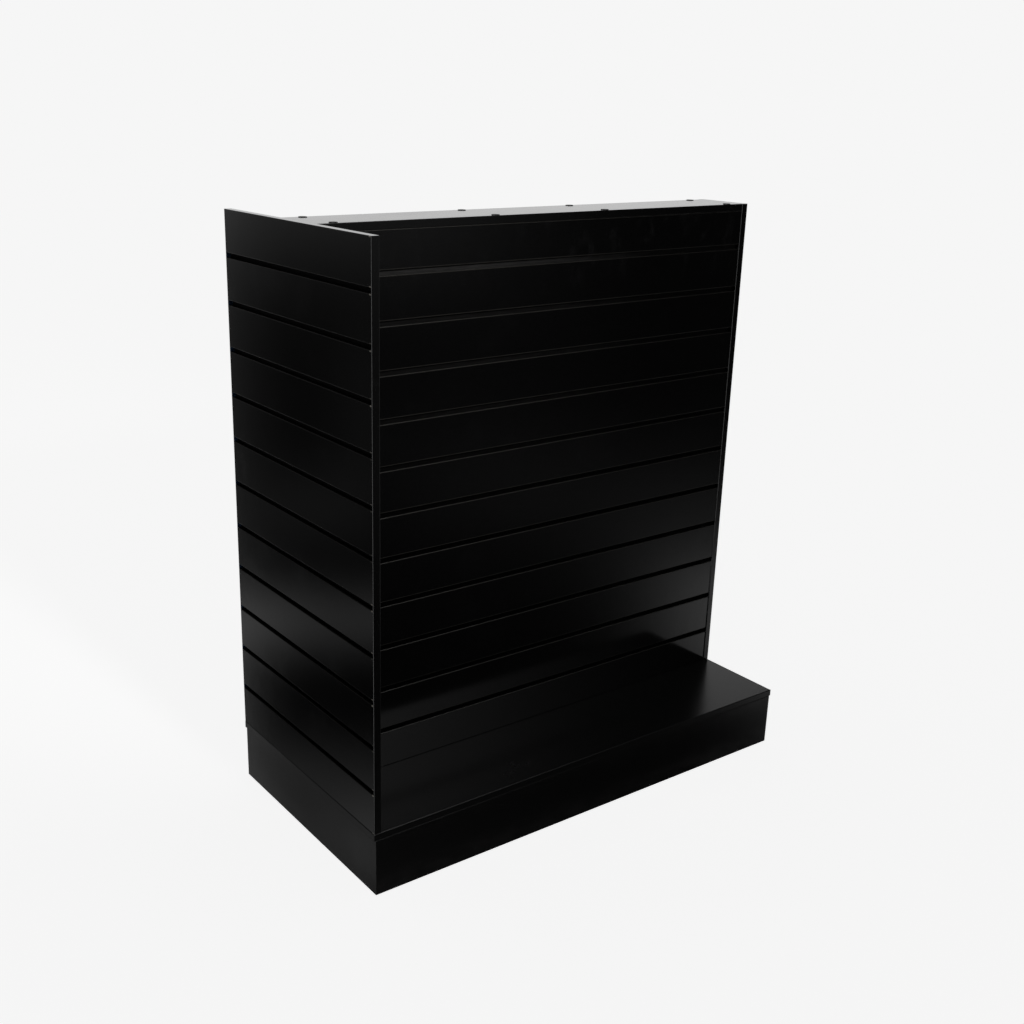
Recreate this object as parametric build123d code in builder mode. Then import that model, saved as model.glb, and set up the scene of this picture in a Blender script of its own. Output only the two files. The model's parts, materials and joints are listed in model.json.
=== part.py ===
from build123d import *
import os

# Slatwall gondola in millimetres. The origin is on the floor, under the middle of the base.
# +X runs along the wall to its right end, +Y runs to the back and +Z is up.

# ---------------------------------------------------------------- driving dimensions

overall_length = 1202.0
overall_depth = 594.0
board = 17.0  # thickness of every board
kick_height = 129.5
kick_inset = 3.5  # deck overhang past the kick boards at each end
wall_depth = 144.0  # over the faces of both wall panels

groove_pitch = 101.6
slat_count = 12
groove_mouth = 11.0
groove_lip = 5.0  # thickness of the lips on either side of the mouth
slot_height = 24.0  # the T's cross bar, behind the lips
slot_depth = 5.5
arris_radius = 1.2
wall_groove_drop = 5.5  # the wall's grooves sit this much lower than the end panel's

band = 2.0  # thickness of the edge banding
band_radius = 1.5
fit = 0.1  # radial clearance of a pin or screw in its hole

rail_screw_x = (-400.0, -90.0, 90.0, 400.0)
mid_support_x = 195.0  # wall spacers, and the base braces under them
brace_height = 110.0

cap_screw_x = (-541.5, -152.0, 152.0, 541.5)
cap_screw_edge = 11.0  # from the wall's face to the screw's axis
cap_screw_length = 60.0
cover_radius = 9.0
cover_height = 1.2

dowel_radius = 4.0
dowel_length = 30.0
dowel_in_board = 12.0  # depth of a dowel in the face of a board
dowel_hole = 20.0  # depth of its hole in the edge of the other board

cam_radius = 7.5
cam_depth = 12.5
cam_setback = 24.0  # from the spacer's edge to the cam's axis
bolt_radius = 3.0
bolt_bite = 10.0  # thread length in the wall panel
cam_slats = (2, 6, 9)  # slats that carry cam bolts, counted from the bottom
end_screw_slats = (1, 4, 7, 10)

block_side = 30.0
block_height = 100.0
block_drop = 10.0
block_screw_rises = (25.0, 75.0)
block_cross_rises = (40.0, 60.0)

bracket_leg = 30.0
bracket_width = 20.0
bracket_sheet = 2.0
bracket_hole = 18.0  # from the bracket's corner to the hole
bracket_x = (-400.0, 0.0, 400.0)

# ---------------------------------------------------------------- derived places

half_length = overall_length / 2
half_depth = overall_depth / 2
half_wall = wall_depth / 2
deck_top = kick_height + board
panel_height = slat_count * groove_pitch - groove_mouth
overall_top = deck_top + panel_height
cap_bottom = overall_top - board
wall_height = cap_bottom - deck_top
wall_half_length = half_length - board
cavity_half = half_wall - board
kick_half_length = half_length - kick_inset
kick_inner_x = kick_half_length - board
kick_inner_y = half_depth - board
spacer_bottom = deck_top + board
spacer_height = wall_height - 2 * board
end_spacer_x = wall_half_length - board / 2
brace_bottom = kick_height - brace_height
block_bottom = kick_height - block_drop - block_height

end_grooves = [i * groove_pitch - groove_mouth / 2 for i in range(1, slat_count)]
wall_grooves = [z - wall_groove_drop for z in end_grooves]


def slat_middle(slat):
    """Height of the middle of one of the wall's slats, counted from the bottom one."""
    return deck_top + wall_grooves[slat - 1] + groove_pitch / 2


end_dowels = [(-half_length + board / 2, y, deck_top) for y in (-230.0, -100.0, 100.0, 230.0)]
right_dowels = [(half_length - board / 2, y, deck_top) for y in (-40.0, 40.0)]
front_dowels = [(x, -half_wall + board / 2, deck_top) for x in (-480.0, -160.0, 160.0, 480.0)]
back_dowels = [(x, -y, z) for x, y, z in front_dowels]
brace_dowel_rises = (30.0, 80.0)

UP = (0, 0, 1)
DOWN = (0, 0, -1)
LEFT = (-1, 0, 0)
RIGHT = (1, 0, 0)
FRONT = (0, -1, 0)
BACK = (0, 1, 0)


# ---------------------------------------------------------------- shared steps


def save(piece, name):
    """Label a finished piece and write it to its own file."""
    piece.part.label = name
    export_step(piece.part, f"parts/{name}.step")


def facing(points, outward):
    """A plane at each point, its normal pointing out of the face that the point is on."""
    return [Plane(origin=point, z_dir=outward) for point in points]


def drill(points, outward, radius, depth):
    """Blind holes in the part being built, from points on a face."""
    with Locations(*facing(points, outward)):
        Hole(radius=radius + fit, depth=depth)


def plain_board(low, high):
    """A square-edged board between two opposite corners."""
    size = [b - a for a, b in zip(low, high)]
    with BuildPart() as blank:
        with BuildSketch(Plane.XY.offset(low[2])):
            with Locations(((low[0] + high[0]) / 2, (low[1] + high[1]) / 2)):
                Rectangle(size[0], size[1])
        extrude(amount=size[2])
    return blank.part


def slat_board(corner, inward, length, height, grooves):
    """A board with T grooves along its outer face.

    The profile stands on the corner, with its thickness running inward, and is drawn out
    sideways to the length. The groove heights are counted from the board's bottom edge.
    """
    sideways = Vector(*inward).cross(Vector(*UP))
    with BuildPart() as blank:
        with BuildSketch(Plane(origin=corner, x_dir=inward, z_dir=sideways)) as profile:
            Rectangle(board, height, align=(Align.MIN, Align.MIN))
            with Locations(*[(0, z) for z in grooves]):
                Rectangle(groove_lip, groove_mouth, align=(Align.MIN, Align.CENTER), mode=Mode.SUBTRACT)
            with Locations(*[(groove_lip, z) for z in grooves]):
                Rectangle(slot_depth, slot_height, align=(Align.MIN, Align.CENTER), mode=Mode.SUBTRACT)
            fillet(profile.vertices().group_by(Axis.X)[0], radius=arris_radius)
        extrude(amount=length)
    return blank.part


def edge_band(start, along, outward, length):
    """A strip of edge banding, board wide, with its two outer corners rounded."""
    across = Vector(*outward).cross(Vector(*along))
    with BuildPart() as strip:
        with BuildSketch(Plane(origin=start, x_dir=across, z_dir=along)) as profile:
            Rectangle(board, band, align=(Align.CENTER, Align.MIN))
            fillet(profile.vertices().group_by(Axis.Y)[-1], radius=band_radius)
        extrude(amount=length)
    return strip


def countersunk_screw(length, head_radius=4.0, shank_radius=2.0):
    """A chipboard screw, head flush with the origin, pointing along -Z."""
    head_height = head_radius - shank_radius
    with BuildPart() as screw:
        with BuildSketch(Plane.XZ):
            with BuildLine():
                Polyline(
                    (0, 0),
                    (head_radius, 0),
                    (shank_radius, -head_height),
                    (shank_radius, shank_radius * 2 - length),
                    (0, -length),
                    close=True,
                )
            make_face()
        revolve(axis=Axis.Z)
        with Locations((0, 0, 0)):
            Hole(radius=shank_radius * 0.8, depth=head_height)
    return screw.part


def pan_screw(length, head_radius=4.0, head_height=2.4, shank_radius=2.0):
    """A pan-head screw, the underside of its head at the origin, pointing along -Z."""
    with BuildPart() as screw:
        with BuildSketch(Plane.XY.offset(-length)):
            Circle(shank_radius)
        extrude(amount=length)
        chamfer(screw.edges().sort_by(Axis.Z)[0], length=shank_radius * 0.6)
        with BuildSketch(Plane.XY):
            Circle(head_radius)
        extrude(amount=head_height)
        fillet(screw.edges().sort_by(Axis.Z)[-1], radius=head_height * 0.5)
        with Locations((0, 0, head_height)):
            Hole(radius=shank_radius * 0.7, depth=head_height * 0.6)
    return screw.part


def countersink(points, outward, through):
    """Clearance holes with countersinks for the screws above, in the part being built."""
    with Locations(*facing(points, outward)):
        CounterSinkHole(radius=2.0 + fit, counter_sink_radius=4.0 + fit, depth=through)


def group(piece, planes):
    """Copies of one piece, one on each plane, as separate solids of one node."""
    with BuildPart() as copies:
        with Locations(*planes):
            add(piece)
    return copies


with BuildPart() as dowel:
    with BuildSketch(Plane.XY.offset(-dowel_length / 2)):
        Circle(dowel_radius)
    extrude(amount=dowel_length)
    chamfer(dowel.edges().filter_by(GeomType.CIRCLE), length=1.0)

os.makedirs("parts", exist_ok=True)

# ---------------------------------------------------------------- base

with BuildPart() as deck_board:
    add(
        plain_board(
            (-half_length + band, -half_depth + band, kick_height),
            (half_length - band, half_depth - band, deck_top),
        )
    )
    drill(end_dowels + right_dowels + front_dowels + back_dowels, UP, dowel_radius, dowel_in_board)
    drill([(x, 0, deck_top) for x in rail_screw_x], UP, 2.0, 13.0)
    for y, sign in ((-kick_inner_y, 1), (kick_inner_y, -1)):
        drill([(x, y + sign * bracket_hole, kick_height) for x in bracket_x], DOWN, 2.0, 12.0)
    for x, sign in ((-kick_inner_x, 1), (kick_inner_x, -1)):
        drill([(x + sign * bracket_hole, 0, kick_height)], DOWN, 2.0, 12.0)
save(deck_board, "deck_board")

brace_dowels = {
    side: [
        (x, side * kick_inner_y, brace_bottom + rise)
        for x in (-mid_support_x, mid_support_x)
        for rise in brace_dowel_rises
    ]
    for side in (-1, 1)
}

block_centres = [
    (sx * (kick_inner_x - block_side / 2), sy * (kick_inner_y - block_side / 2))
    for sx in (-1, 1)
    for sy in (-1, 1)
]

for name, side, inward in (("front_kick_board", -1, BACK), ("back_kick_board", 1, FRONT)):
    outer, inner = side * half_depth, side * kick_inner_y
    with BuildPart() as long_kick_board:
        add(
            plain_board(
                (-kick_half_length, min(outer, inner), 0),
                (kick_half_length, max(outer, inner), kick_height),
            )
        )
        drill(brace_dowels[side], inward, dowel_radius, dowel_in_board)
        drill([(x, inner, kick_height - bracket_hole) for x in bracket_x], inward, 2.0, 12.0)
        for x, y in block_centres:
            if y * side > 0:
                drill([(x, inner, block_bottom + rise) for rise in block_screw_rises], inward, 2.0, 10.0)
    save(long_kick_board, name)

for name, side, inward in (("left_kick_board", -1, RIGHT), ("right_kick_board", 1, LEFT)):
    outer, inner = side * kick_half_length, side * kick_inner_x
    with BuildPart() as short_kick_board:
        add(
            plain_board(
                (min(outer, inner), -kick_inner_y, 0),
                (max(outer, inner), kick_inner_y, kick_height),
            )
        )
        drill([(inner, 0, kick_height - bracket_hole)], inward, 2.0, 12.0)
        for x, y in block_centres:
            if x * side > 0:
                drill([(inner, y, block_bottom + rise) for rise in block_cross_rises], inward, 2.0, 10.0)
    save(short_kick_board, name)

for name, x in (("base_brace_left", -mid_support_x), ("base_brace_right", mid_support_x)):
    with BuildPart() as base_brace:
        add(
            plain_board(
                (x - board / 2, -kick_inner_y, brace_bottom),
                (x + board / 2, kick_inner_y, kick_height),
            )
        )
        for side, outward in ((-1, FRONT), (1, BACK)):
            drill([p for p in brace_dowels[side] if p[0] == x], outward, dowel_radius, dowel_hole)
    save(base_brace, name)

dowel_stand_out = dowel_length / 2 - dowel_in_board
brace_dowel_pins = group(
    dowel.part,
    facing([(x, y + dowel_stand_out, z) for x, y, z in brace_dowels[-1]], BACK)
    + facing([(x, y - dowel_stand_out, z) for x, y, z in brace_dowels[1]], FRONT),
)
save(brace_dowel_pins, "brace_dowels")

with BuildPart() as base_corner_blocks:
    for x, y in block_centres:
        half = block_side / 2
        add(
            plain_board(
                (x - half, y - half, block_bottom),
                (x + half, y + half, block_bottom + block_height),
            )
        )
        inward_x, inward_y = (RIGHT if x < 0 else LEFT), (BACK if y < 0 else FRONT)
        face_x, face_y = x + inward_x[0] * half, y + inward_y[1] * half
        countersink([(x, face_y, block_bottom + rise) for rise in block_screw_rises], inward_y, block_side)
        countersink([(face_x, y, block_bottom + rise) for rise in block_cross_rises], inward_x, block_side)
save(base_corner_blocks, "base_corner_blocks")

block_screw_planes = []
for x, y in block_centres:
    inward_x, inward_y = (RIGHT if x < 0 else LEFT), (BACK if y < 0 else FRONT)
    face_x = x + inward_x[0] * block_side / 2
    face_y = y + inward_y[1] * block_side / 2
    block_screw_planes += facing([(x, face_y, block_bottom + r) for r in block_screw_rises], inward_y)
    block_screw_planes += facing([(face_x, y, block_bottom + r) for r in block_cross_rises], inward_x)
corner_block_screws = group(countersunk_screw(block_side + 9.0), block_screw_planes)
save(corner_block_screws, "corner_block_screws")

# Each steel angle bracket sits in the corner between a kick board and the deck's underside.
with BuildPart() as bracket:
    with BuildSketch(Plane.YZ.offset(-bracket_width / 2)):
        with BuildLine():
            Polyline(
                (0, 0),
                (bracket_leg, 0),
                (bracket_leg, -bracket_sheet),
                (bracket_sheet, -bracket_sheet),
                (bracket_sheet, -bracket_leg),
                (0, -bracket_leg),
                close=True,
            )
        make_face()
    extrude(amount=bracket_width)
    drill([(0, bracket_hole, 0)], UP, 2.0, bracket_sheet)
    drill([(0, 0, -bracket_hole)], FRONT, 2.0, bracket_sheet)

bracket_corners = (
    [Plane(origin=(x, -kick_inner_y, kick_height), x_dir=RIGHT, z_dir=UP) for x in bracket_x]
    + [Plane(origin=(x, kick_inner_y, kick_height), x_dir=LEFT, z_dir=UP) for x in bracket_x]
    + [Plane(origin=(-kick_inner_x, 0, kick_height), x_dir=FRONT, z_dir=UP)]
    + [Plane(origin=(kick_inner_x, 0, kick_height), x_dir=BACK, z_dir=UP)]
)
deck_brackets = group(bracket.part, bracket_corners)
save(deck_brackets, "deck_brackets")

bracket_screw_planes = []
for corner in bracket_corners:
    into_base = corner.y_dir
    deck_point = corner.origin + into_base * bracket_hole - corner.z_dir * bracket_sheet
    kick_point = corner.origin + into_base * bracket_sheet - corner.z_dir * bracket_hole
    bracket_screw_planes += facing([deck_point], DOWN) + facing([kick_point], into_base)
bracket_screws = group(pan_screw(13.0), bracket_screw_planes)
save(bracket_screws, "bracket_screws")

# ---------------------------------------------------------------- end panels

with BuildPart() as left_end_panel:
    add(
        slat_board(
            (-half_length, half_depth - band, deck_top),
            RIGHT,
            overall_depth - 2 * band,
            panel_height,
            end_grooves,
        )
    )
    drill(end_dowels, DOWN, dowel_radius, dowel_hole)
    drill([(-wall_half_length, 0, slat_middle(n)) for n in end_screw_slats], RIGHT, 2.0, 11.0)
save(left_end_panel, "left_end_panel")

with BuildPart() as right_end_panel:
    add(plain_board((wall_half_length, -half_wall, deck_top), (half_length, half_wall, overall_top)))
    drill(right_dowels, DOWN, dowel_radius, dowel_hole)
    drill([(wall_half_length, 0, slat_middle(n)) for n in end_screw_slats], LEFT, 2.0, 11.0)
save(right_end_panel, "right_end_panel")

# ---------------------------------------------------------------- hollow wall

for name, side, inward, dowels in (
    ("front_wall_panel", -1, BACK, front_dowels),
    ("back_wall_panel", 1, FRONT, back_dowels),
):
    with BuildPart() as wall_panel:
        add(
            slat_board(
                (side * wall_half_length, side * half_wall, deck_top),
                inward,
                2 * wall_half_length,
                wall_height,
                wall_grooves,
            )
        )
        drill(dowels, DOWN, dowel_radius, dowel_hole)
        cap_screw_y = side * (half_wall - cap_screw_edge)
        drill([(x, cap_screw_y, cap_bottom) for x in cap_screw_x], UP, 2.0, cap_screw_length - board)
        for x in (-end_spacer_x, -mid_support_x, mid_support_x, end_spacer_x):
            bolt_points = [(x, side * cavity_half, slat_middle(n)) for n in cam_slats]
            drill(bolt_points, inward, bolt_radius, bolt_bite)
    save(wall_panel, name)

for name, bottom in (("wall_floor_rail", deck_top), ("wall_top_rail", cap_bottom - board)):
    with BuildPart() as rail:
        add(
            plain_board(
                (-wall_half_length, -cavity_half, bottom),
                (wall_half_length, cavity_half, bottom + board),
            )
        )
        if name == "wall_floor_rail":
            countersink([(x, 0, bottom + board) for x in rail_screw_x], UP, board)
        else:
            countersink([(x, 0, bottom) for x in rail_screw_x], DOWN, board)
    save(rail, name)

# The cams go in from the face of each spacer that looks towards the middle of the wall.
spacers = {
    "wall_spacer_left": (-end_spacer_x, RIGHT),
    "wall_spacer_mid_left": (-mid_support_x, RIGHT),
    "wall_spacer_mid_right": (mid_support_x, LEFT),
    "wall_spacer_right": (end_spacer_x, LEFT),
}
cam_y = cavity_half - cam_setback

for name, (x, cam_side) in spacers.items():
    cam_face = x + cam_side[0] * board / 2
    with BuildPart() as wall_spacer:
        add(
            plain_board(
                (x - board / 2, -cavity_half, spacer_bottom),
                (x + board / 2, cavity_half, spacer_bottom + spacer_height),
            )
        )
        for side, outward in ((-1, FRONT), (1, BACK)):
            heights = [slat_middle(n) for n in cam_slats]
            drill([(cam_face, side * cam_y, z) for z in heights], cam_side, cam_radius, cam_depth + fit)
            drill([(x, side * cavity_half, z) for z in heights], outward, bolt_radius + 0.5, cam_setback)
        if abs(x) == end_spacer_x:
            countersink([(cam_face, 0, slat_middle(n)) for n in end_screw_slats], cam_side, board)
    save(wall_spacer, name)

# A cam is a drum with a driver slot in its face and a socket that takes the bolt's head.
with BuildPart() as cam:
    with BuildSketch(Plane.XY.offset(-cam_depth)):
        Circle(cam_radius)
    extrude(amount=cam_depth)
    with BuildSketch(Plane.XY):
        Rectangle(9.0, 1.6)
        Rectangle(1.6, 9.0)
    extrude(amount=-2.5, mode=Mode.SUBTRACT)
    drill([(0, -cam_radius, -board / 2)], FRONT, bolt_radius + 0.5, cam_radius + 3.0)

cam_planes = [
    Plane(
        origin=(x + cam_side[0] * board / 2, side * cam_y, slat_middle(n)),
        x_dir=Vector(0, -side, 0).cross(Vector(*cam_side)),
        z_dir=cam_side,
    )
    for x, cam_side in spacers.values()
    for side in (-1, 1)
    for n in cam_slats
]
cam_locks = group(cam.part, cam_planes)
save(cam_locks, "cam_locks")

# A cam bolt's axis is local Z, its shoulder on the wall panel's inner face at the origin.
bolt_head_length = 4.0
bolt_neck_length = 5.0
bolt_shank_length = cam_setback - bolt_head_length - bolt_neck_length
with BuildPart() as cam_bolt:
    with BuildSketch(Plane.XZ):
        with BuildLine():
            Polyline(
                (0, -bolt_bite),
                (bolt_radius, -bolt_bite),
                (bolt_radius, bolt_shank_length),
                (bolt_radius - 1, bolt_shank_length),
                (bolt_radius - 1, bolt_shank_length + bolt_neck_length),
                (bolt_radius, bolt_shank_length + bolt_neck_length),
                (bolt_radius, cam_setback),
                (0, cam_setback),
                close=True,
            )
        make_face()
    revolve(axis=Axis.Z)

bolt_planes = [
    Plane(origin=(x, side * cavity_half, slat_middle(n)), z_dir=(0, -side, 0))
    for x, _ in spacers.values()
    for side in (-1, 1)
    for n in cam_slats
]
cam_bolts = group(cam_bolt.part, bolt_planes)
save(cam_bolts, "cam_bolts")

rail_screw = countersunk_screw(29.0)
floor_rail_screws = group(rail_screw, facing([(x, 0, deck_top + board) for x in rail_screw_x], UP))
save(floor_rail_screws, "floor_rail_screws")

top_rail_screws = group(rail_screw, facing([(x, 0, cap_bottom - board) for x in rail_screw_x], DOWN))
save(top_rail_screws, "top_rail_screws")

end_screw_face = wall_half_length - board
end_panel_screws = group(
    countersunk_screw(27.0),
    facing([(-end_screw_face, 0, slat_middle(n)) for n in end_screw_slats], RIGHT)
    + facing([(end_screw_face, 0, slat_middle(n)) for n in end_screw_slats], LEFT),
)
save(end_panel_screws, "end_panel_screws")

panel_dowel_points = end_dowels + right_dowels + front_dowels + back_dowels
panel_dowels = group(dowel.part, facing([(x, y, z + dowel_stand_out) for x, y, z in panel_dowel_points], UP))
save(panel_dowels, "panel_dowels")

# ---------------------------------------------------------------- cap and its screws

cap_screw_points = [
    (x, side * (half_wall - cap_screw_edge), overall_top) for side in (-1, 1) for x in cap_screw_x
]

with BuildPart() as top_cap:
    add(
        plain_board(
            (-wall_half_length, -half_wall + band, cap_bottom),
            (wall_half_length, half_wall - band, overall_top),
        )
    )
    countersink(cap_screw_points, UP, board)
    drill([(x, 0, cap_bottom) for x in rail_screw_x], DOWN, 2.0, 13.0)
save(top_cap, "top_cap")

cap_screws = group(countersunk_screw(cap_screw_length - 1.0), facing(cap_screw_points, UP))
save(cap_screws, "cap_screws")

# A push-in cover: a low disc with a chamfered rim, and a stem that plugs the screw's socket.
cover_chamfer = 0.7
stem_radius = 1.4
stem_length = 1.8
with BuildPart() as cover:
    with BuildSketch(Plane.XZ):
        with BuildLine():
            Polyline(
                (0, cover_height),
                (cover_radius - cover_chamfer, cover_height),
                (cover_radius, cover_height - cover_chamfer),
                (cover_radius, 0),
                (stem_radius, 0),
                (stem_radius, -stem_length),
                (0, -stem_length),
                close=True,
            )
        make_face()
    revolve(axis=Axis.Z)

screw_covers = group(cover.part, facing(cap_screw_points, UP))
save(screw_covers, "screw_covers")

# ---------------------------------------------------------------- edge banding

deck_mid = kick_height + board / 2
cap_mid = cap_bottom + board / 2
left_mid = -half_length + board / 2
right_mid = half_length - board / 2
board_depth = overall_depth - 2 * band
wall_length = 2 * wall_half_length

bands = {
    "deck_front_band": ((-half_length, -half_depth + band, deck_mid), RIGHT, FRONT, overall_length),
    "deck_back_band": ((-half_length, half_depth - band, deck_mid), RIGHT, BACK, overall_length),
    "deck_left_band": ((-half_length + band, -board_depth / 2, deck_mid), BACK, LEFT, board_depth),
    "deck_right_band": ((half_length - band, -board_depth / 2, deck_mid), BACK, RIGHT, board_depth),
    "left_end_panel_front_band": ((left_mid, -half_depth + band, deck_top), UP, FRONT, panel_height),
    "left_end_panel_back_band": ((left_mid, half_depth - band, deck_top), UP, BACK, panel_height),
    "right_end_panel_front_band": ((right_mid, -half_wall, deck_top), UP, FRONT, panel_height),
    "right_end_panel_back_band": ((right_mid, half_wall, deck_top), UP, BACK, panel_height),
    "top_cap_front_band": ((-wall_half_length, -half_wall + band, cap_mid), RIGHT, FRONT, wall_length),
    "top_cap_back_band": ((-wall_half_length, half_wall - band, cap_mid), RIGHT, BACK, wall_length),
}
for name, placing in bands.items():
    save(edge_band(*placing), name)
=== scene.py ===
import json
import math

import bpy
from mathutils import Matrix, Vector


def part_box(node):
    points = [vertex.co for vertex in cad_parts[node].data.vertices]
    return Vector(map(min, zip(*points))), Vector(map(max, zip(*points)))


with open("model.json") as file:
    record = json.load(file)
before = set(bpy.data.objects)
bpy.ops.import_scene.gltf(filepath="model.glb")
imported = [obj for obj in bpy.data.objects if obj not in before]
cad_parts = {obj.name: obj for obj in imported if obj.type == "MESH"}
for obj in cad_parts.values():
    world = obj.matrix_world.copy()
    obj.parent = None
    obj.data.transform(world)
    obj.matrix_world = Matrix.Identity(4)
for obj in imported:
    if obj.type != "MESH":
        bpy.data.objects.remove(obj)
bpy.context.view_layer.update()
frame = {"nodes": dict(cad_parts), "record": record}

# A black slatwall gondola in a pale studio. Metres, in the frame's own axes: +X runs along the
# wall away from the slatwall end panel, +Y to the back, +Z up, with the floor at zero.

# ---------------------------------------------------------------- places read from the frame

MM = 0.001
X, Y, Z = 0, 1, 2
ARRIS_DEPTH = 1.25 * MM  # the mouth's rounding ends here, measured in from the face
SLOT_DEPTH = 12 * MM  # just past the floor of the slot behind the mouth
EDGE_STRIP = 0.5 * MM  # faces this near the board's outline are its edges, not its grooves
MOUTH_HALF = 5.5 * MM
FACING = 0.9  # cosine above which a face counts as turned that way
OPENINGS = {entry["name"]: entry["box_m"] for entry in frame["record"]["physics"]["openings"]}


def groove_height(name):
    low, high = OPENINGS[name]
    return (low[Z] + high[Z]) / 2


class SlatPanel:
    """A grooved board: the axis across its thickness, and which way along that axis is inward."""

    def __init__(self, node, axis, inward, groove):
        self.node = node
        self.axis = axis
        self.inward = inward
        self.groove = groove
        self.low, self.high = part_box(node)
        self.face = self.low[axis] if inward > 0 else self.high[axis]


END_GROOVE = groove_height("end_groove_1")
WALL_GROOVE = groove_height("front_groove_2")
GROOVE_PITCH = groove_height("end_groove_2") - END_GROOVE
END_PANEL = SlatPanel("left_end_panel", X, 1, END_GROOVE)
FRONT_PANEL = SlatPanel("front_wall_panel", Y, 1, WALL_GROOVE)
BACK_PANEL = SlatPanel("back_wall_panel", Y, -1, WALL_GROOVE)

# ---------------------------------------------------------------- camera

# The place, angles, lens and shift are fitted to the photo's straight edges.
CAMERA_PLACE = Vector((-1.764, -2.197, 1.589))
CAMERA_YAW = math.radians(35.83)  # from +Y towards +X
CAMERA_PITCH = math.radians(-18.51)
CAMERA_ROLL = math.radians(1.08)
CAMERA_LENS = 43.89
CAMERA_SENSOR = 36
CAMERA_SHIFT = (0.0480, 0.0021)


def make_camera():
    forward = Vector((
        math.sin(CAMERA_YAW) * math.cos(CAMERA_PITCH),
        math.cos(CAMERA_YAW) * math.cos(CAMERA_PITCH),
        math.sin(CAMERA_PITCH),
    ))
    level_right = Vector((math.cos(CAMERA_YAW), -math.sin(CAMERA_YAW), 0))
    level_up = level_right.cross(forward)
    right = level_right * math.cos(CAMERA_ROLL) + level_up * math.sin(CAMERA_ROLL)
    up = level_up * math.cos(CAMERA_ROLL) - level_right * math.sin(CAMERA_ROLL)
    data = bpy.data.cameras.new("camera")
    data.lens = CAMERA_LENS
    data.sensor_width = CAMERA_SENSOR
    data.shift_x, data.shift_y = CAMERA_SHIFT
    camera = bpy.data.objects.new("camera", data)
    turn = Matrix((right, up, -forward)).transposed().to_4x4()
    camera.matrix_world = Matrix.Translation(CAMERA_PLACE) @ turn
    bpy.context.scene.collection.objects.link(camera)
    bpy.context.scene.camera = camera


# ---------------------------------------------------------------- node shorthand


# The Mix node's sockets for colours. Its sockets for numbers and vectors share their names.
MIX_FIRST, MIX_SECOND, MIX_RESULT = 6, 7, 2


class Tree:
    """A node tree with one-line calls for the nodes that repeat."""

    def __init__(self, tree):
        self.tree = tree
        tree.nodes.clear()

    def node(self, kind, values=(), **settings):
        made = self.tree.nodes.new(kind)
        for name, value in settings.items():
            setattr(made, name, value)
        for name, value in dict(values).items():
            self.feed(made.inputs[name], value)
        return made

    def feed(self, socket, value):
        if isinstance(value, bpy.types.NodeSocket):
            self.tree.links.new(value, socket)
        else:
            socket.default_value = value

    def math(self, operation, *values):
        made = self.tree.nodes.new("ShaderNodeMath")
        made.operation = operation
        for socket, value in zip(made.inputs, values):
            self.feed(socket, value)
        return made.outputs[0]

    def layer(self, amount, strength, base):
        """The base with amount times strength on top."""
        return self.math("MULTIPLY_ADD", amount, strength, base)

    def axes(self, place):
        """The place's X, Y and Z, in that order."""
        return self.node("ShaderNodeSeparateXYZ", {"Vector": place}).outputs

    def ramp(self, value, low, high, to_low=0.0, to_high=1.0):
        """Smooth step from to_low at low to to_high at high."""
        values = {
            "Value": value,
            "From Min": low,
            "From Max": high,
            "To Min": to_low,
            "To Max": to_high,
        }
        made = self.node("ShaderNodeMapRange", values, interpolation_type="SMOOTHSTEP")
        return made.outputs["Result"]

    def noise(self, place, scale, detail=2.0, roughness=0.5):
        """Noise with so many features a metre. Three scales stretch it along the axes."""
        if isinstance(scale, tuple):
            stretched = self.node("ShaderNodeMapping", {"Vector": place, "Scale": scale})
            place, scale = stretched.outputs["Vector"], 1.0
        made = self.node(
            "ShaderNodeTexNoise",
            {"Vector": place, "Scale": scale, "Detail": detail, "Roughness": roughness},
        )
        return made.outputs["Fac"]

    def mix(self, share, first, second):
        made = self.tree.nodes.new("ShaderNodeMix")
        made.data_type = "RGBA"
        self.feed(made.inputs["Factor"], share)
        self.feed(made.inputs[MIX_FIRST], first)
        self.feed(made.inputs[MIX_SECOND], second)
        return made.outputs[MIX_RESULT]

    def grey(self, shade, red=1.0, blue=1.0):
        """A grey, warmer or cooler where red or blue isn't one."""
        parts = {
            "Red": self.math("MULTIPLY", shade, red),
            "Green": shade,
            "Blue": self.math("MULTIPLY", shade, blue),
        }
        return self.node("ShaderNodeCombineColor", parts).outputs[0]


# ---------------------------------------------------------------- studio

BACKDROP = 0.921
AMBIENT = 0.09
FLOOR_SIZE = 30.0
FLOOR_SHADED_SHARE = 0.06  # the rest of the floor's tone is its own glow

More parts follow.
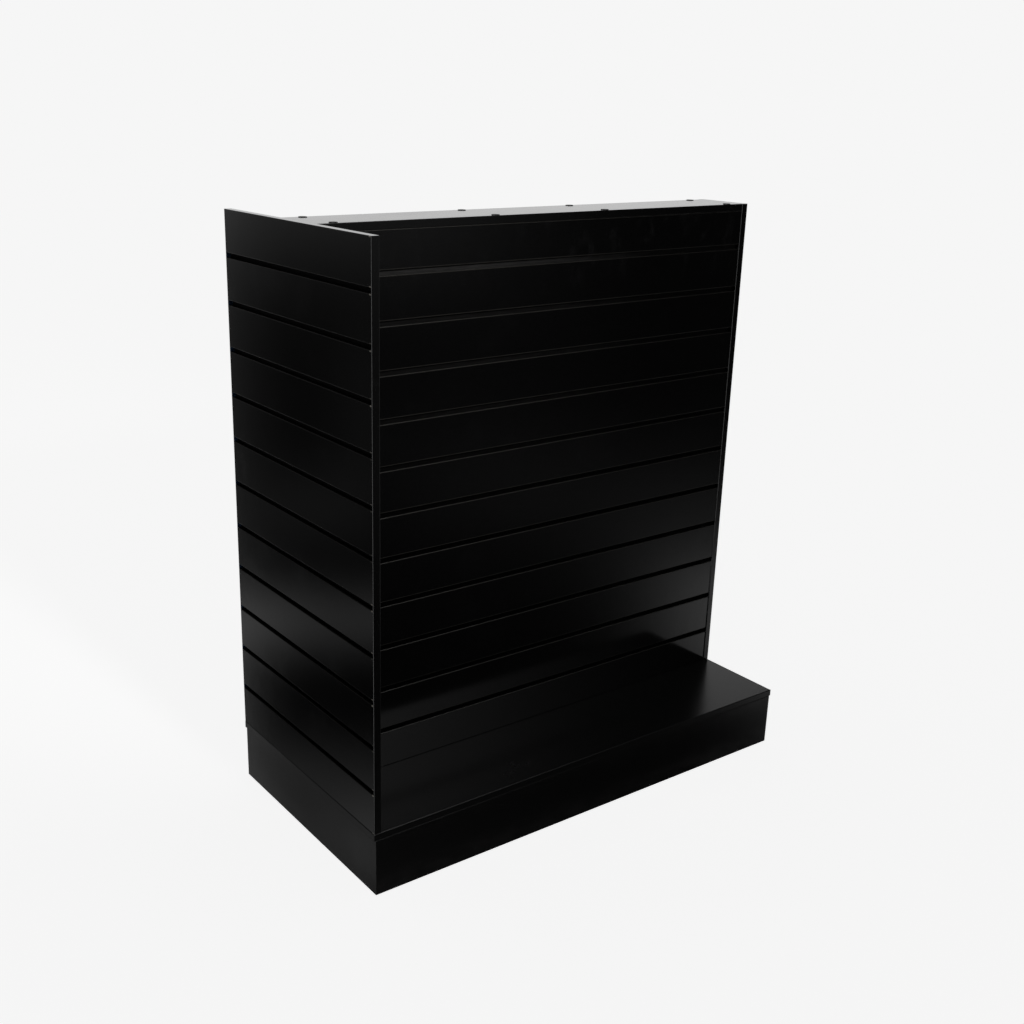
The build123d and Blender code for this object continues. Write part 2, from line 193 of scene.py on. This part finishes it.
# Patches of light that only mirror-like rays see: bearing from +Y towards +X and height above the
# horizon in degrees, half widths in degrees, strength, and how square the patch's edge is. Most
# are fitted to the photo, from the directions that the faces mirror in its view. The rest light
# the other sides.
ROUND, SOFT_SQUARE, SQUARE = 2, 4, 6
ALL_ROUND = 1000  # a half width that takes in every bearing
LIGHT_CARDS = (
    ("white sweep behind", 25, 5, 37, 17, 0.82, SQUARE),
    ("sweep's soft top", 30, 25, 40, 7, 0.38, ROUND),
    ("back-left glow", -18.3, -14, 4.0, 16, 0.84, ROUND),
    ("back-left glow at the horizon", -20, -2, 4.0, 5, 0.60, ROUND),
    ("haze on the left horizon", -31.5, -2, 10, 4.2, 0.19, ROUND),
    ("floor strip on the left", -25.5, -23.2, 3.2, 1.6, 0.20, ROUND),
    ("floor strip further left", -32, -23.4, 4.0, 1.5, 0.14, ROUND),
    ("floor by the left kick", -31.6, -33.4, 4.4, 3.0, 0.21, ROUND),
    ("floor behind the left kick", -26.6, -30.2, 3.2, 1.6, 0.06, ROUND),
    ("left of the back corner", -22.3, -28, 2.2, 6, 0.46, ROUND),
    ("dim patch on the left wall", -31.5, -14, 1.9, 6, 0.030, ROUND),
    ("faint patch above the floor line", -28.6, -18.2, 3.0, 2.0, 0.035, ROUND),
    ("floor past the right end", 128.3, -22.6, 5.4, 2.6, 0.66, SOFT_SQUARE),
    ("floor past the right end, further", 131, -19.5, 6.0, 3.5, 0.12, ROUND),
    ("middle distance", 142, -17, 6, 2.6, 0.05, ROUND),
    ("room behind the camera", 148, -5, 5, 3, 0.14, ROUND),
    ("floor beyond the kick's right end", 126.5, -27, 2.0, 2.0, 0.22, ROUND),
    ("floor in front", 165, -66, 42, 17, 1.40, ROUND),
    ("key softbox on the right", 163, 34, 19, 15, 3.20, SOFT_SQUARE),
    ("window on the left", -108, -12, 17, 30, 3.20, SOFT_SQUARE),
    ("overhead softbox", 0, 90, ALL_ROUND, 33, 1.10, SOFT_SQUARE),
    ("pale wall behind on the right", 88, -2, 22, 26, 0.36, SOFT_SQUARE),
    ("floor behind", 58, -27, 36, 13, 0.24, SOFT_SQUARE),
    ("room on the left", -142, -14, 15, 22, 0.30, SOFT_SQUARE),
    ("dim room", 180, 10, ALL_ROUND, 30, 0.02, ROUND),
)
ROOM_LEVEL = 0.002
LAMP_PLACE = (-0.50, -2.45, 2.31)
LAMP_RADIUS = 0.12
LAMP_WATTS = 90.0
LAMP_CONE = 37.0  # degrees across
LAMP_DIP = 24.0  # degrees below level


def make_world():
    """An even backdrop for the camera, one even level for matt surfaces, and the light patches."""
    world = bpy.data.worlds.new("studio")
    bpy.context.scene.world = world
    world.use_nodes = True
    world.cycles.sampling_method = "NONE"
    tree = Tree(world.node_tree)
    direction = tree.node("ShaderNodeTexCoord").outputs["Generated"]
    axes = tree.axes(direction)
    degrees = 180 / math.pi
    bearing = tree.math("MULTIPLY", tree.math("ARCTAN2", axes[X], axes[Y]), degrees)
    height = tree.math("MULTIPLY", tree.math("ARCSINE", axes[Z]), degrees)
    light = ROOM_LEVEL
    for _, aim, rise, half_width, half_height, strength, squareness in LIGHT_CARDS:
        across = tree.math("WRAP", tree.math("SUBTRACT", bearing, aim), 180, -180)
        across = tree.math("ABSOLUTE", tree.math("DIVIDE", across, half_width))
        across = tree.math("POWER", across, squareness)
        upward = tree.math("SUBTRACT", height, rise)
        upward = tree.math("ABSOLUTE", tree.math("DIVIDE", upward, half_height))
        upward = tree.math("POWER", upward, squareness)
        falloff = tree.math("EXPONENT", tree.math("MULTIPLY", tree.math("ADD", across, upward), -1))
        light = tree.layer(falloff, strength, light)
    path = tree.node("ShaderNodeLightPath").outputs
    unseen = tree.mix(path["Is Diffuse Ray"], light, (AMBIENT, AMBIENT, AMBIENT, 1))
    shown = tree.mix(path["Is Camera Ray"], unseen, (BACKDROP, BACKDROP, BACKDROP, 1))
    background = tree.node("ShaderNodeBackground", {"Color": shown})
    tree.node("ShaderNodeOutputWorld", {"Surface": background.outputs[0]})


def make_floor():
    """A pale floor that is mostly its own glow, with a faint shadow. Nothing mirrors it."""
    half = FLOOR_SIZE / 2
    mesh = bpy.data.meshes.new("floor")
    corners = [(-half, -half, 0), (half, -half, 0), (half, half, 0), (-half, half, 0)]
    mesh.from_pydata(corners, [], [(0, 1, 2, 3)])
    floor = bpy.data.objects.new("floor", mesh)
    bpy.context.scene.collection.objects.link(floor)
    floor.visible_glossy = False
    floor.visible_diffuse = False
    material = bpy.data.materials.new("pale_floor")
    material.use_nodes = True
    tree = Tree(material.node_tree)
    glow = BACKDROP * (1 - FLOOR_SHADED_SHARE)
    lit = BACKDROP * FLOOR_SHADED_SHARE / AMBIENT
    matt = tree.node("ShaderNodeBsdfDiffuse", {"Color": (lit, lit, lit, 1)})
    even = tree.node("ShaderNodeEmission", {"Color": (glow, glow, glow, 1)})
    both = tree.node("ShaderNodeAddShader")
    tree.feed(both.inputs[0], matt.outputs[0])
    tree.feed(both.inputs[1], even.outputs[0])
    tree.node("ShaderNodeOutputMaterial", {"Surface": both.outputs[0]})
    mesh.materials.append(material)


def make_wall_lamp():
    """A soft spot from high in front, aimed at the wall's upper left. It lights matt surfaces."""
    data = bpy.data.lights.new("wall_lamp", "SPOT")
    data.energy = LAMP_WATTS
    data.shadow_soft_size = LAMP_RADIUS
    data.spot_size = math.radians(LAMP_CONE)
    data.spot_blend = 1.0
    lamp = bpy.data.objects.new("wall_lamp", data)
    lamp.location = LAMP_PLACE
    lamp.rotation_euler = (math.radians(90 - LAMP_DIP), 0, 0)
    lamp.visible_camera = False
    lamp.visible_glossy = False
    bpy.context.scene.collection.objects.link(lamp)


# ---------------------------------------------------------------- materials


# Pairs of heights or runs are where a change begins and ends. Shades are linear, from 0 to 1.
HANDLED_HEIGHTS = (1.14, 1.30)  # hands smudge the top of the boards most
HANDLED_RUN = (-0.10, 0.30)  # and the plain end more than the slatwall end
HANDLED_LEAST = 0.15
HANDLED_MOST = 1.0
CLEAN_SHADE = 0.0020
SMUDGE_SHADE = 0.0012
DUST_SHADE = 0.008
WIPE_SHADE = 0.020
PEARL_SHADE = 0.028
MELAMINE_BLUE = 1.03
LAMINATE_BUMP_MM = 0.012
LAMINATE_ROUND_MM = 0.7
ROUND_SAMPLES = 4
WALL_BLUR, END_BLUR, DECK_BLUR = 0.100, 0.050, 0.230  # least roughness of each surface

# Floor dust along the kick boards' foot, and painted light in a strip just under the deck's
# overhang, share this colour.
FLOOR_DUST_AND_LIGHT = (0.016, 0.0155, 0.0155, 1)
DUSTY_FOOT = (0.015, 0.060)
# Painted light: heights of the paler strip under the deck's overhang.
PAINTED_LIGHT_UNDER_DECK = (0.088, 0.125)
UNDER_DECK_SHARE = 0.3

# Pale line along the groove mouths and under the cap: partly edge wear, partly a painted highlight
# on the arris, painted wider than the model's 1.2 mm arris.
WORN_ARRIS_AND_HIGHLIGHT = (0.038, 0.036, 0.032, 1)
END_PALE_LINE_MM, WALL_PALE_LINE_MM = 0.9, 2.0  # width of the pale line, out from the mouth's edge
PALE_LINE_DEPTH_MM = (1.3, 1.5)
PALE_LINE_TOP_MM = (1.0, 2.0)
PALE_LINE_BLEND_MM = 0.5
# Pale spots at the groove corners by the end panel's front band: partly chipped core, partly a
# painted glint.
CHIPPED_CORE_AND_GLINT = (0.85, 0.80, 0.70, 1)
CHIP_GLINT_HEIGHT_MM = (2.2, 3.0)
CHIP_GLINT_RUN_MM = (4, 7)

# Painted shade and light in the grooves' core: it darkens towards the low grooves, and a painted
# pool of light pales the top groove towards the slatwall end.
PAINTED_SHADE_HEIGHTS = (0.60, 1.12)
PAINTED_LIGHT_TOP_GROOVE = (1.18, 1.24)
PAINTED_LIGHT_TOP_RUN = (-0.25, 0.35)
PAINTED_LIGHT_TOP_LEAST = 0.35

# The palest and darkest of each metal's shades.
ZINC_PLATE_SHADES = ((0.66, 0.68, 0.72, 1), (0.50, 0.50, 0.50, 1))
DIE_CAST_SHADES = ((0.50, 0.50, 0.52, 1), (0.36, 0.36, 0.38, 1))


def new_material(name):
    material = bpy.data.materials.new(name)
    material.use_nodes = True
    tree = Tree(material.node_tree)
    place = tree.node("ShaderNodeTexCoord").outputs["Object"]
    return material, tree, place


def finish_material(tree, colour, roughness, height, bump_mm, metallic=0.0, round_mm=0.0, ior=1.5):
    """A Principled shader with bump. Sharp edges are shaded round where round_mm is given."""
    values = {"Height": height, "Distance": bump_mm * MM, "Strength": 1.0}
    if round_mm:
        rounded = tree.node("ShaderNodeBevel", {"Radius": round_mm * MM}, samples=ROUND_SAMPLES)
        values["Normal"] = rounded.outputs[0]
    bump = tree.node("ShaderNodeBump", values)
    shader = tree.node(
        "ShaderNodeBsdfPrincipled",
        {
            "Base Color": colour,
            "Roughness": roughness,
            "Metallic": metallic,
            "IOR": ior,
            "Normal": bump.outputs[0],
        },
    )
    tree.node("ShaderNodeOutputMaterial", {"Surface": shader.outputs[0]})


def laminate_surface(tree, place, sheen_blur=WALL_BLUR):
    """Colour, roughness and height of satin black melamine, with pearl grain, smudges and dust."""
    axes = tree.axes(place)
    smudge = tree.ramp(tree.noise(place, 7.0, 4.0, 0.6), 0.52, 0.74)
    wipe = tree.ramp(tree.noise(place, (26, 26, 13), 5.0, 0.7), 0.50, 0.72)
    wipe = tree.math("MULTIPLY", wipe, tree.ramp(axes[Z], *HANDLED_HEIGHTS))
    wipe = tree.math("MULTIPLY", wipe, tree.ramp(axes[X], *HANDLED_RUN, HANDLED_LEAST, HANDLED_MOST))
    streak = tree.noise(place, (60, 60, 9), 4.0, 0.6)
    dust = tree.ramp(tree.noise(place, 900.0, 1.0), 0.72, 0.80)
    grain = tree.noise(place, 640.0, 3.0, 0.7)
    peel = tree.noise(place, 45.0, 2.0)
    pearl = tree.ramp(tree.noise(place, 1000.0, 2.0, 0.7), 0.50, 0.80)
    shade = tree.layer(smudge, SMUDGE_SHADE, CLEAN_SHADE)
    shade = tree.layer(dust, DUST_SHADE, shade)
    shade = tree.layer(wipe, WIPE_SHADE, shade)
    shade = tree.layer(pearl, PEARL_SHADE, shade)
    roughness = tree.layer(smudge, 0.03, sheen_blur)
    roughness = tree.layer(streak, 0.03, roughness)
    height = tree.layer(peel, 2.0, grain)
    return tree.grey(shade, blue=MELAMINE_BLUE), roughness, height


def laminate_material(name="black_melamine", sheen_blur=WALL_BLUR):
    material, tree, place = new_material(name)
    colour, roughness, height = laminate_surface(tree, place, sheen_blur)
    finish_material(tree, colour, roughness, height, LAMINATE_BUMP_MM, round_mm=LAMINATE_ROUND_MM)
    return material


def kick_material():
    """Melamine with floor dust along its foot, and painted light in a paler strip just under
    the deck's overhang.
    """
    material, tree, place = new_material("kick_melamine")
    colour, roughness, height = laminate_surface(tree, place)
    rise = tree.axes(place)[Z]
    patchy = tree.ramp(tree.noise(place, (14, 14, 40), 4.0, 0.6), 0.25, 0.65)
    foot = tree.ramp(rise, *DUSTY_FOOT, 1.0, 0.0)
    # Painted light: a paler strip just under the deck's overhang.
    under = tree.math("MULTIPLY", tree.ramp(rise, *PAINTED_LIGHT_UNDER_DECK), UNDER_DECK_SHARE)
    dust_and_light = tree.math("MULTIPLY", tree.math("ADD", foot, under), patchy)
    colour = tree.mix(dust_and_light, colour, FLOOR_DUST_AND_LIGHT)
    roughness = tree.layer(dust_and_light, 0.06, roughness)
    finish_material(tree, colour, roughness, height, LAMINATE_BUMP_MM, round_mm=LAMINATE_ROUND_MM)
    return material


def slat_face_material(name, panel, pale_line_mm, sheen_blur, chipped_and_glinting=False):
    """Melamine with a pale line along each groove's mouth and along the board's top, partly
    wear and partly a painted highlight on the arris.

    Where asked, a pale spot marks the groove corners by the front band: partly chipped core,
    partly a painted glint.
    """
    material, tree, place = new_material(name)
    colour, roughness, height = laminate_surface(tree, place, sheen_blur)
    axes = tree.axes(place)
    depth = tree.math("SUBTRACT", axes[panel.axis], panel.face)
    depth = tree.math("MULTIPLY", depth, panel.inward / MM)
    outer = tree.ramp(depth, *PALE_LINE_DEPTH_MM, 1.0, 0.0)

    offset = tree.math("SUBTRACT", axes[Z], panel.groove)
    offset = tree.math("WRAP", offset, GROOVE_PITCH / 2, -GROOVE_PITCH / 2)
    from_mouth = tree.math("SUBTRACT", tree.math("ABSOLUTE", offset), MOUTH_HALF)
    from_mouth = tree.math("DIVIDE", from_mouth, MM)
    # Pale line along each mouth: partly wear, partly a painted highlight on the arris.
    line_from, line_to = pale_line_mm - PALE_LINE_BLEND_MM, pale_line_mm + PALE_LINE_BLEND_MM
    pale_line = tree.math("MULTIPLY", outer, tree.ramp(from_mouth, line_from, line_to, 1.0, 0.0))

    # The same pale line, wear and painted highlight, just under the board's top.
    from_top = tree.math("DIVIDE", tree.math("SUBTRACT", panel.high.z, axes[Z]), MM)
    pale_top = tree.math("MULTIPLY", outer, tree.ramp(from_top, *PALE_LINE_TOP_MM, 1.0, 0.0))
    pale_line = tree.math("MAXIMUM", pale_line, pale_top)
    line_breakup = tree.noise(place, (40, 40, 900), 3.0)
    wear_and_highlight = tree.math("MULTIPLY", pale_line, tree.ramp(line_breakup, 0.20, 0.55, 0.4, 1.0))
    colour = tree.mix(wear_and_highlight, colour, WORN_ARRIS_AND_HIGHLIGHT)
    if chipped_and_glinting:
        # Painted glint and chipped core at the groove corners.
        chip_and_glint = tree.math("MULTIPLY", outer, tree.ramp(from_mouth, *CHIP_GLINT_HEIGHT_MM, 1.0, 0.0))
        glint_from, glint_to = [panel.low.y + reach * MM for reach in CHIP_GLINT_RUN_MM]
        chip_and_glint = tree.math("MULTIPLY", chip_and_glint, tree.ramp(axes[Y], glint_from, glint_to, 1.0, 0.0))
        corner_breakup = tree.noise(place, (1, 1, 35), 2.0)
        chip_and_glint = tree.math("MULTIPLY", chip_and_glint, tree.ramp(corner_breakup, 0.38, 0.58, 0.12, 1.0))
        colour = tree.mix(chip_and_glint, colour, CHIPPED_CORE_AND_GLINT)
    roughness = tree.layer(wear_and_highlight, 0.10, roughness)
    finish_material(tree, colour, roughness, height, LAMINATE_BUMP_MM)
    return material


def groove_material(name, darkest, palest, painted_light):
    """The routed fibre core inside the grooves, brushed over with thin matt black.

    It is darkest in the low grooves, and palest in the top one towards the slatwall end. That is
    painted shade and a painted pool of light, following the photo's tones, not the black's own.
    """
    material, tree, place = new_material(name)
    axes = tree.axes(place)
    fibre = tree.noise(place, (300, 300, 1600), 3.0)
    thin = tree.noise(place, (25, 25, 500), 3.0)
    # Painted shade: darker towards the low grooves.
    shade = tree.ramp(axes[Z], *PAINTED_SHADE_HEIGHTS, darkest, palest)
    # Painted light: a pale pool in the top groove, fading along its run.
    along_top = tree.ramp(axes[X], *PAINTED_LIGHT_TOP_RUN, 1.0, PAINTED_LIGHT_TOP_LEAST)
    top = tree.math("MULTIPLY", tree.ramp(axes[Z], *PAINTED_LIGHT_TOP_GROOVE), along_top)
    shade = tree.layer(top, painted_light, shade)
    coverage = tree.ramp(thin, 0.35, 0.70, 0.7, 1.1)
    coverage = tree.math("ADD", coverage, tree.math("MULTIPLY", fibre, 0.3))
    shade = tree.math("MULTIPLY", shade, coverage)
    roughness = tree.layer(fibre, 0.15, 0.80)
    colour = tree.grey(shade, red=1.02, blue=0.98)
    finish_material(tree, colour, roughness, fibre, bump_mm=0.06, ior=1.12)
    return material


def band_material():
    material, tree, place = new_material("edge_banding")
    grain = tree.noise(place, 520.0, 3.0, 0.7)
    scuff = tree.ramp(tree.noise(place, 35.0, 5.0, 0.65), 0.50, 0.75)
    shade = tree.layer(scuff, 0.0020, 0.0060)
    roughness = tree.layer(scuff, 0.05, 0.14)
    finish_material(tree, tree.grey(shade), roughness, grain, bump_mm=0.004)
    return material


def glue_side_material():
    """The banding's primed inner side, which shows at the back end of each groove."""
    material, tree, place = new_material("banding_glue_side")
    smear = tree.noise(place, (300, 300, 120), 3.0)
    colour = tree.mix(smear, (0.012, 0.034, 0.080, 1), (0.024, 0.058, 0.120, 1))
    roughness = tree.layer(smear, 0.2, 0.45)
    finish_material(tree, colour, roughness, smear, bump_mm=0.03)
    return material


def cover_material():
    material, tree, place = new_material("screw_cover_plastic")
    grain = tree.noise(place, 1800.0, 2.0)
    shade = tree.layer(grain, 0.006, 0.006)
    roughness = tree.layer(grain, 0.1, 0.5)
    finish_material(tree, tree.grey(shade), roughness, grain, bump_mm=0.01)
    return material


def raw_board_material():
    material, tree, place = new_material("bare_fibreboard")
    fibre = tree.noise(place, (500, 500, 900), 4.0, 0.6)
    patch = tree.noise(place, 12.0, 3.0)
    colour = tree.mix(fibre, (0.30, 0.20, 0.115, 1), (0.44, 0.31, 0.19, 1))
    colour = tree.mix(tree.math("MULTIPLY", patch, 0.4), colour, (0.36, 0.26, 0.16, 1))
    roughness = tree.layer(fibre, 0.15, 0.72)
    finish_material(tree, colour, roughness, fibre, bump_mm=0.05, round_mm=0.5)
    return material


def timber_material():
    material, tree, place = new_material("bare_timber")
    rings = tree.noise(place, (160, 160, 9), 4.0, 0.6)
    pores = tree.ramp(tree.noise(place, (900, 900, 40), 2.0), 0.60, 0.72)
    colour = tree.mix(rings, (0.36, 0.22, 0.11, 1), (0.60, 0.42, 0.24, 1))
    colour = tree.mix(tree.math("MULTIPLY", pores, 0.6), colour, (0.20, 0.11, 0.05, 1))
    roughness = tree.layer(rings, 0.15, 0.55)
    finish_material(tree, colour, roughness, rings, bump_mm=0.08, round_mm=0.5)
    return material


def metal_material(name, pale, dark, base_roughness):
    material, tree, place = new_material(name)
    spangle = tree.noise(place, 220.0, 3.0)
    scratch = tree.noise(place, (200, 1800, 1800), 2.0)
    colour = tree.mix(spangle, dark, pale)
    roughness = tree.layer(scratch, 0.14, base_roughness)
    finish_material(tree, colour, roughness, scratch, bump_mm=0.008, metallic=1.0, round_mm=0.3)
    return material


def dress(node, material):
    slots = frame["nodes"][node].data.materials
    slots.clear()
    slots.append(material)


def dress_faces(node, material, chosen):
    """A second material on the faces that chosen(centre, normal) picks."""
    mesh = frame["nodes"][node].data
    added = len(mesh.materials)
    mesh.materials.append(material)
    for polygon in mesh.polygons:
        if chosen(polygon.center, polygon.normal):
            polygon.material_index = added


def dress_slat_panel(panel, face_material, core):
    """Melamine on the panel's outside, and the core inside its grooves."""
    along = 1 - panel.axis
    low = [edge + EDGE_STRIP for edge in panel.low]
    high = [edge - EDGE_STRIP for edge in panel.high]

    def routed(centre, normal):
        depth = (centre[panel.axis] - panel.face) * panel.inward
        inside = all(low[n] < centre[n] < high[n] for n in (along, Z))
        return inside and ARRIS_DEPTH < depth < SLOT_DEPTH

    dress(panel.node, face_material)
    dress_faces(panel.node, core, routed)


def dress_by_slot():
    """Every node gets the material that its slot in the record stands for."""
    slot_materials = {
        "black_laminate": laminate_material(),
        "edge_banding": band_material(),
        "raw_board": raw_board_material(),
        "timber": timber_material(),
        "zinc_steel": metal_material("zinc_plate", *ZINC_PLATE_SHADES, base_roughness=0.24),
        "cam_metal": metal_material("die_cast_zinc", *DIE_CAST_SHADES, base_roughness=0.42),
        "cover_plastic": cover_material(),
    }
    for part in frame["record"]["subparts"]:
        dress(part["node"], slot_materials[part["material_slot"]])


def dress_base():
    kick = kick_material()
    for side in ("front", "back", "left", "right"):
        dress(f"{side}_kick_board", kick)
    dress("deck_board", laminate_material("deck_melamine", DECK_BLUR))


def dress_slatwall():
    # Both cores carry painted shade by height; the wall's core also has a painted pool of light in
    # its top groove.
    end_core = groove_material("routed_core_painted", darkest=0.003, palest=0.006, painted_light=0.0)
    wall_core = groove_material("routed_core", darkest=0.0012, palest=0.014, painted_light=0.028)
    end_face = slat_face_material("slatwall_end", END_PANEL, END_PALE_LINE_MM, END_BLUR, chipped_and_glinting=True)
    front_face = slat_face_material("slatwall_front", FRONT_PANEL, WALL_PALE_LINE_MM, WALL_BLUR)
    back_face = slat_face_material("slatwall_back", BACK_PANEL, WALL_PALE_LINE_MM, WALL_BLUR)
    dress_slat_panel(END_PANEL, end_face, end_core)
    dress_slat_panel(FRONT_PANEL, front_face, wall_core)
    dress_slat_panel(BACK_PANEL, back_face, wall_core)
    glue_side = glue_side_material()
    dress_faces("left_end_panel_front_band", glue_side, lambda centre, normal: normal.y > FACING)
    dress_faces("left_end_panel_back_band", glue_side, lambda centre, normal: normal.y < -FACING)


make_camera()
make_world()
make_floor()
make_wall_lamp()
dress_by_slot()
dress_base()
dress_slatwall()

bpy.context.scene.view_settings.view_transform = "Standard"
